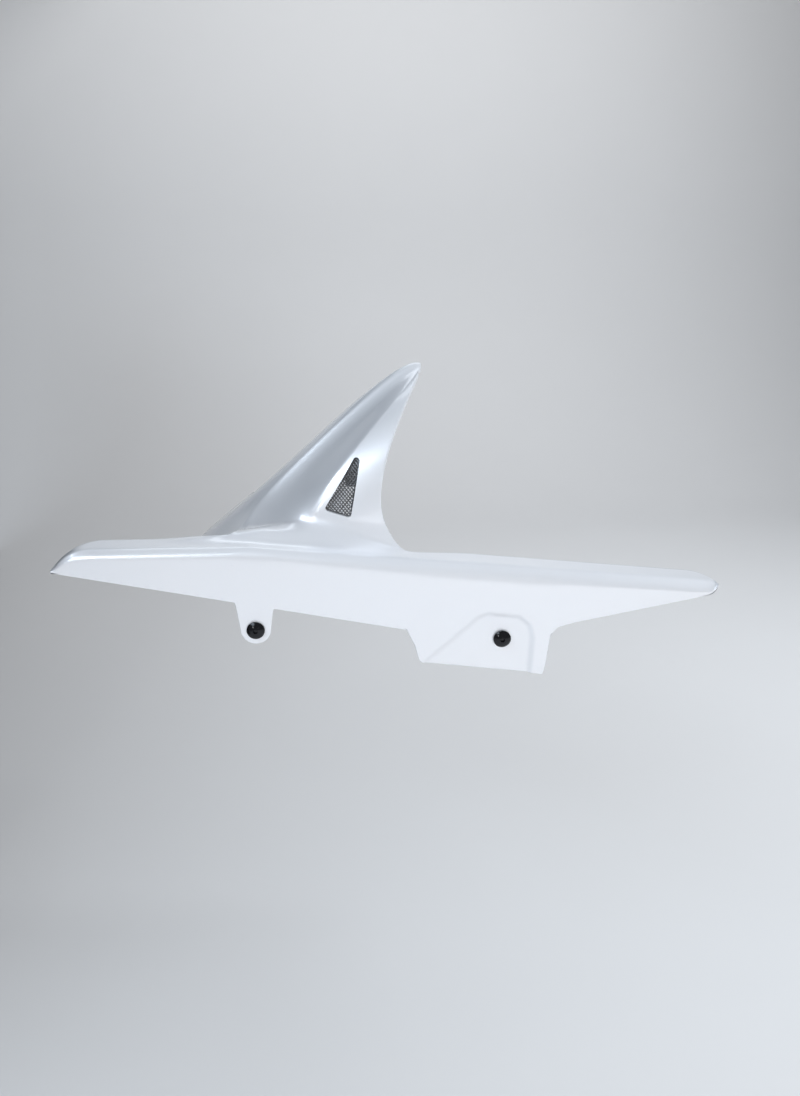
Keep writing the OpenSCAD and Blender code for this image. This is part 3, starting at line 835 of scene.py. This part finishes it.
# strands in two directions, cast onto the sheet and bent over and under each other
def strandTree():
    group = bpy.data.node_groups.new("wovenStrands", "GeometryNodeTree")
    inputs = {"Geometry": "Geometry", "Pitch": "Float", "Strand radius": "Float", "Tilt": "Float",
              "Reach": "Float", "Middle": "Vector", "Weave": "Float", "Finish": "Material"}
    for name, kind in inputs.items():
        group.interface.new_socket(name, in_out="INPUT", socket_type="NodeSocket" + kind)
    group.interface.new_socket("Geometry", in_out="OUTPUT", socket_type="NodeSocketGeometry")
    given = group.nodes.new("NodeGroupInput")
    sockets = [Socket(given.outputs[name]) for name in inputs]
    sheet, pitch, radius, tilt, reach, middle, weave, finish = sockets
    add = sheet.node

    def vector(**parts):
        return add("ShaderNodeCombineXYZ", 0, {name.upper(): value for name, value in parts.items()})

    strands = []
    for way in (1.0, -1.0):
        count = (reach * 2.0 / pitch).maths("FLOOR") + 1.0
        start = {"Offset": vector(x=pitch), "Start Location": vector(x=reach * -1.0)}
        spots = add("GeometryNodeMeshLine", 0, {"Count": count, **start}, mode="OFFSET")
        ends = {"Start": vector(z=reach * -1.0), "End": vector(z=reach)}
        line = add("GeometryNodeCurvePrimitiveLine", 0, ends)
        laid = add("GeometryNodeInstanceOnPoints", 0, {"Points": spots, "Instance": line})
        real = add("GeometryNodeRealizeInstances", 0, {0: laid})
        turn = {"Translation": middle, "Rotation": vector(y=tilt * way)}
        turned = add("GeometryNodeTransform", 0, {"Geometry": real, **turn})
        length = {"Curve": turned, "Length": panel["sample"] * mm}
        fine = add("GeometryNodeResampleCurve", 0, length, mode="LENGTH")
        ray = {"Target Geometry": sheet, "Ray Length": panel["rayLength"], "Ray Direction": (0, 1, 0)}
        hit = add("GeometryNodeRaycast", "Is Hit", ray, data_type="FLOAT")
        missed = add("FunctionNodeBooleanMath", 0, {0: hit}, operation="NOT")
        kept = add("GeometryNodeDeleteGeometry", 0, {"Geometry": fine, "Selection": missed}, domain="POINT")
        apart = add("ShaderNodeSeparateXYZ", "X", {0: add("GeometryNodeInputPosition", 0, {})})
        wave = ((apart + apart.other("Z")) / pitch * panel["waves"]).maths("SINE")
        lifted = {0: hit.other("Hit Normal"), "Scale": wave * way * weave}
        over = add("ShaderNodeVectorMath", 0, lifted, operation="SCALE")
        spotOn = add("ShaderNodeVectorMath", 0, {0: hit.other("Hit Position"), 1: over}, operation="ADD")
        bent = add("GeometryNodeSetPosition", 0, {"Geometry": kept, "Position": spotOn})
        ring = add("GeometryNodeCurvePrimitiveCircle", 0, {"Resolution": panel["sides"], "Radius": radius})
        strands.append(add("GeometryNodeCurveToMesh", 0, {"Curve": bent, "Profile Curve": ring}))
    both = add("GeometryNodeJoinGeometry", 0, {0: strands[0]})
    group.links.new(strands[1].out, both.out.node.inputs[0])
    whole = add("GeometryNodeRealizeInstances", 0, {0: both})
    dressed = add("GeometryNodeSetMaterial", 0, {"Geometry": whole, "Material": finish})
    group.links.new(dressed.out, group.nodes.new("NodeGroupOutput").inputs[0])
    return group


def setInputs(modifier, values):
    for item in modifier.node_group.interface.items_tree:
        if item.item_type == "SOCKET" and item.in_out == "INPUT" and item.name in values:
            modifier[item.identifier] = values[item.name]


# the sheet that the strands lie on, close behind the flank
def ventPanel(name, left):
    deep, rows, cols = shell["wall"] + vent["meshGap"], panel["rows"], panel["cols"]
    ids, verts = [], []
    for r in range(rows + 1):
        ids.append(list(range(len(verts), len(verts) + cols + 1)))
        t = mix(*panel["t"], r / rows)
        verts += [toRow(panelPoint(t, mix(*panel["f"], c / cols), left, deep)) for c in range(cols + 1)]
    faces = gridFaces(ids)
    mesh = plainMesh(name, verts, faces)
    outline = rowXZ(ventOutline(vent["panelEdge"]))
    bm = bmesh.new()
    bm.from_mesh(mesh)
    outer = [f for f in bm.faces if not within(f.calc_center_median().x, f.calc_center_median().z, outline)]
    bmesh.ops.delete(bm, geom=outer, context="FACES")
    bm.to_mesh(mesh)
    bm.free()
    return mesh, BVHTree.FromPolygons(verts, faces)


# the plain border that is bonded to the shell
def addBorder(mesh, tree, y, left):
    bm = bmesh.new()
    bm.from_mesh(mesh)
    wide, narrow = rowXZ(ventOutline(vent["borderOut"])), rowXZ(ventOutline(-vent["borderIn"]))
    deep = vent["borderDepth"] * mm * (1 if left else -1)
    rings = []
    for outline, shift in ((wide, 0), (narrow, 0), (narrow, deep), (wide, deep)):
        ring = []
        for x, z in outline:
            hit = tree.ray_cast(Vector((x, y, z)), Vector((0, 1, 0)))[0]
            ring.append(bm.verts.new((x, hit.y - deep * vent["borderBack"] + shift, z)))
        rings.append(ring)
    for a, b in zip(rings, rings[1:] + rings[:1]):
        for k in range(len(wide)):
            following = (k + 1) % len(wide)
            bm.faces.new((a[k], b[k], b[following], a[following]))
    bmesh.ops.recalc_face_normals(bm, faces=bm.faces)
    bm.to_mesh(mesh)
    bm.free()


def ventMesh(name, node, left):
    mesh, tree = ventPanel(name, left)
    sheet = linked(name, mesh)
    middle = np.mean(vent["corners"], axis=0)
    y = (origin["w"] - (guardIn + panel["behind"] if left else panel["behind"] - guardIn)) * mm
    modifier = sheet.modifiers.new("strands", "NODES")
    modifier.node_group = weaveTree
    setInputs(modifier, {
        "Pitch": vent["pitch"] * mm,
        "Strand radius": vent["strandRadius"] * mm,
        "Tilt": math.radians(vent["tilt"]),
        "Reach": vent["reach"] * mm,
        "Middle": ((middle[0] - origin["x"]) * mm, y, (middle[1] - origin["z"]) * mm),
        "Weave": vent["weave"] * mm,
        "Finish": finishes["mesh"],
    })
    graph = bpy.context.evaluated_depsgraph_get()
    woven = bpy.data.meshes.new_from_object(sheet.evaluated_get(graph))
    sheet.modifiers.clear()
    addBorder(woven, tree, y, left)
    woven.materials.clear()
    woven.materials.append(finishes["mesh"])
    woven.polygons.foreach_set("material_index", [0] * len(woven.polygons))
    allSmooth(woven, vent["sharp"])
    sheet.data = woven
    bpy.data.meshes.remove(mesh)
    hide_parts(node)
    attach(sheet, "root")
    print(name, len(woven.polygons), "faces")


weaveTree = strandTree()
ventMesh("leftVentWeave", "left_vent_mesh", True)
ventMesh("rightVentWeave", "right_vent_mesh", False)


# floor, lights and camera, in metres

studio = {
    "floor": -0.388, "floorColour": (0.62, 0.62, 0.625), "floorRough": 0.7, "front": -3, "bend": 1.6,
    "bendRound": 0.8, "wallTop": 3, "halfWidth": 5, "turnFrom": 0.15, "grain": 5, "darker": 0.98,
    "cardColour": (0.02, 0.02, 0.025), "cardRough": 0.8,
    "world": 0.12, "worldColour": (0.86, 0.92, 1),
}
white, cool, blue = (1, 1, 1), (0.9, 0.95, 1), (0.78, 0.89, 1)
keySpot, keyAim, keySize = (0.5, -2.1, 0.45), (-0.1, 0.1, 0.05), (1.0, 0.7)
lamps = {  # spot, aim, size, watts, colour, and whether the paint mirrors it
    "keyBox": (keySpot, keyAim, keySize, 29, white, False),
    "shineBox": (keySpot, keyAim, keySize, 4, white, True),
    "glintBox": ((-0.82, -1.38, 0.51), (-0.15, 0.04, 0.12), (0.12, 0.3), 1.6, white, True),
    "edgeStrip": ((-1.05, -0.5, 0.95), (-0.15, 0.05, 0.13), (1.5, 0.5), 14, blue, True),
    "topBox": ((1.3, 0.2, 1.2), (-0.1, 0.1, 0), (1.0, 0.6), 31, cool, False),
    "skyBox": ((-0.3, 1.05, 1.45), (-0.15, 0.1, 0.1), (0.9, 0.4), 1.6, cool, True),
    "backBox": ((0, 1.3, 1.5), (0, 2.4, 0), (2.4, 0.6), 16, white, False),
}
cards = {  # dark panels that show only in the paint: spot, aim and size
    "darkCard": ((-1.28, 1.41, 1.55), (-0.15, 0.07, 0.15), (1.4, 1.0)),
    "sideCard": ((-0.84, 0.575, 0.06), (0.14, 0.79, 0.06), (1.69, 0.88)),
}
camera = {
    "spot": (-0.14693, -0.80207, 0.36003), "tilt": 71.402, "turn": -3.677, "lens": 30.75, "sensor": 36,
    "near": 0.02,
}


def plainSurface(name, colour, rough):
    material, shader, where = newFinish(name, {"Roughness": rough})
    darker = [c * studio["darker"] for c in colour]
    feed(shader, {"Base Color": between(noise(where, studio["grain"]), darker, colour)})
    return material


def makeFloor():
    bend, r = studio["bend"], studio["bendRound"]
    angles = np.linspace(studio["turnFrom"], math.pi / 2, 12)
    turn = [(bend + r * math.sin(a), r - r * math.cos(a)) for a in angles]
    profile = [(studio["front"], 0), (bend, 0)] + turn + [(bend + r, studio["wallTop"])]
    n, half = len(profile), studio["halfWidth"]
    verts = [(x, y, z + studio["floor"]) for x in (-half, half) for y, z in profile]
    mesh = plainMesh("floor", verts, [(k, k + 1, n + k + 1, n + k) for k in range(n - 1)])
    mesh.materials.append(plainSurface("paleFloor", studio["floorColour"], studio["floorRough"]))
    allSmooth(mesh)
    linked("floor", mesh)


def facing(spot, aim):
    return (Vector(aim) - Vector(spot)).to_track_quat("-Z", "Y")


def addLamp(name, spot, aim, size, watts, colour, mirrored):
    lamp = bpy.data.lights.new(name, "AREA")
    lamp.shape, lamp.energy, lamp.color = "RECTANGLE", watts, colour
    lamp.size, lamp.size_y = size
    box = linked(name, lamp)
    box.location, box.rotation_euler = spot, facing(spot, aim).to_euler()
    box.visible_glossy = mirrored


def addCard(name, spot, aim, size):
    signs = ((-1, -1), (1, -1), (1, 1), (-1, 1))
    corners = [Vector((a * size[0] / 2, b * size[1] / 2, 0)) for a, b in signs]
    mesh = plainMesh(name, [facing(spot, aim) @ c + Vector(spot) for c in corners], [(0, 1, 2, 3)])
    mesh.materials.append(plainSurface(name, studio["cardColour"], studio["cardRough"]))
    card = linked(name, mesh)
    card.visible_camera = False


makeFloor()
for name, values in lamps.items():
    addLamp(name, *values)
for name, values in cards.items():
    addCard(name, *values)
world = bpy.data.worlds.new("studio")
world.use_nodes = True
world.node_tree.nodes["Background"].inputs["Color"].default_value = (*studio["worldColour"], 1)
world.node_tree.nodes["Background"].inputs["Strength"].default_value = studio["world"]
bpy.context.scene.world = world

lens = bpy.data.cameras.new("camera")
lens.lens, lens.sensor_width, lens.clip_start = camera["lens"], camera["sensor"], camera["near"]
eye = linked("camera", lens)
eye.location = camera["spot"]
eye.rotation_euler = (math.radians(camera["tilt"]), 0, math.radians(camera["turn"]))
bpy.context.scene.camera = eye
bpy.context.scene.view_settings.view_transform = "Standard"
print("stage set")
